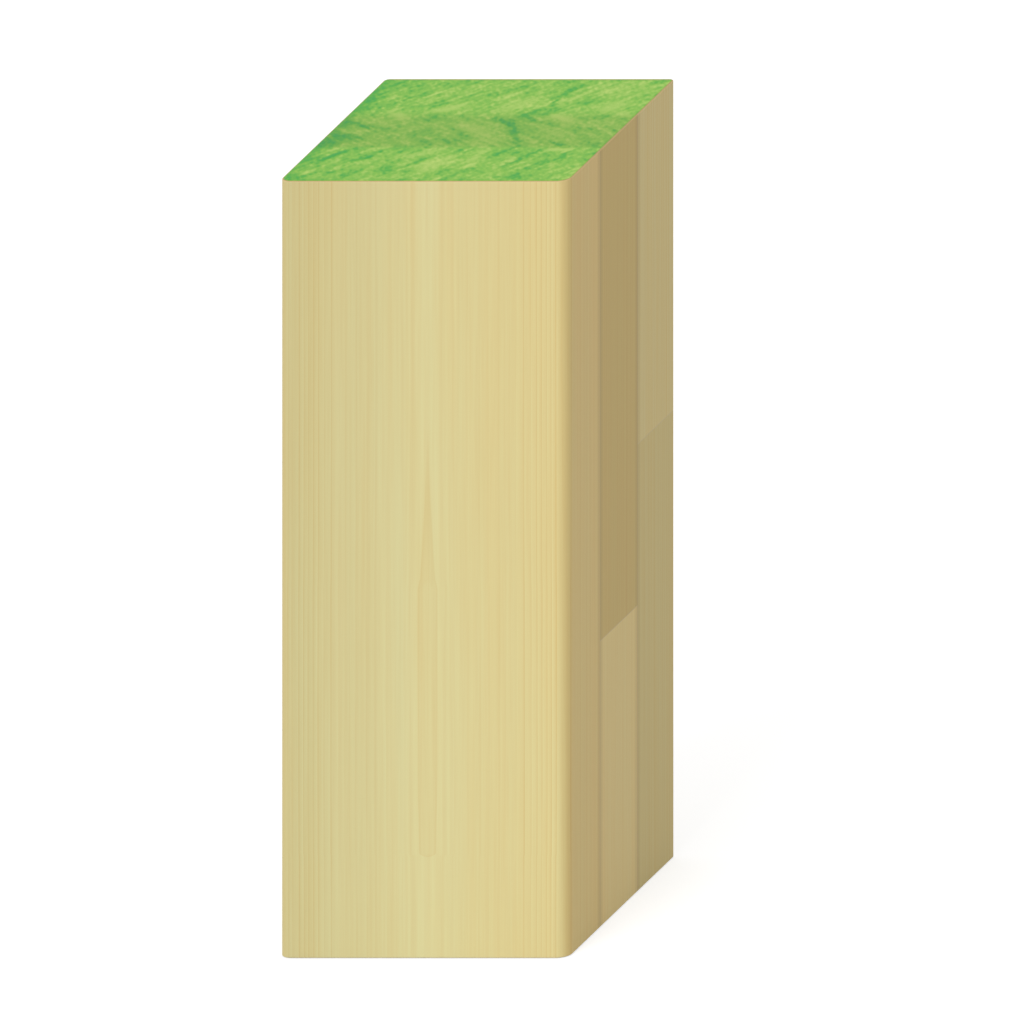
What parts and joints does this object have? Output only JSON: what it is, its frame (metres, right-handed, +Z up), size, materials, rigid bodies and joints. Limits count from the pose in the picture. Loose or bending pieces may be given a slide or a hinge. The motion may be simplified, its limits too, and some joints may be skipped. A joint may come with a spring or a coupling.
{
  "type": "laminated timber post",
  "caption": "Short square post of glued softwood boards, some finger jointed end to end, planed with rounded long edges and green sealer on its end grain.",
  "frame": {"origin": "centre of the foot, on the surface that the post stands on", "axes": "+Z up along the grain, -Y out of the front board's wide face, +X to the right seen from the front"},
  "size_m": [0.115, 0.115, 0.3089],
  "materials": {
    "front_board": "matte",
    "middle_lower_board": "matte",
    "middle_upper_board": "matte",
    "rear_lower_board": "matte",
    "rear_upper_board": "matte",
    "adhesive": "matte",
    "finger_adhesive": "matte",
    "end_sealer": "matte"
  },
  "bodies": {
    "root": {"front_lamella": "front_board", "front_glue_line": "adhesive", "middle_lamella_lower": "middle_lower_board", "middle_lamella_upper": "middle_upper_board", "middle_finger_glue": "finger_adhesive", "rear_glue_line": "adhesive", "rear_lamella_lower": "rear_lower_board", "rear_lamella_upper": "rear_upper_board", "rear_finger_glue": "finger_adhesive", "top_end_seal": "end_sealer", "bottom_end_seal": "end_sealer"}
  },
  "joints": []
}
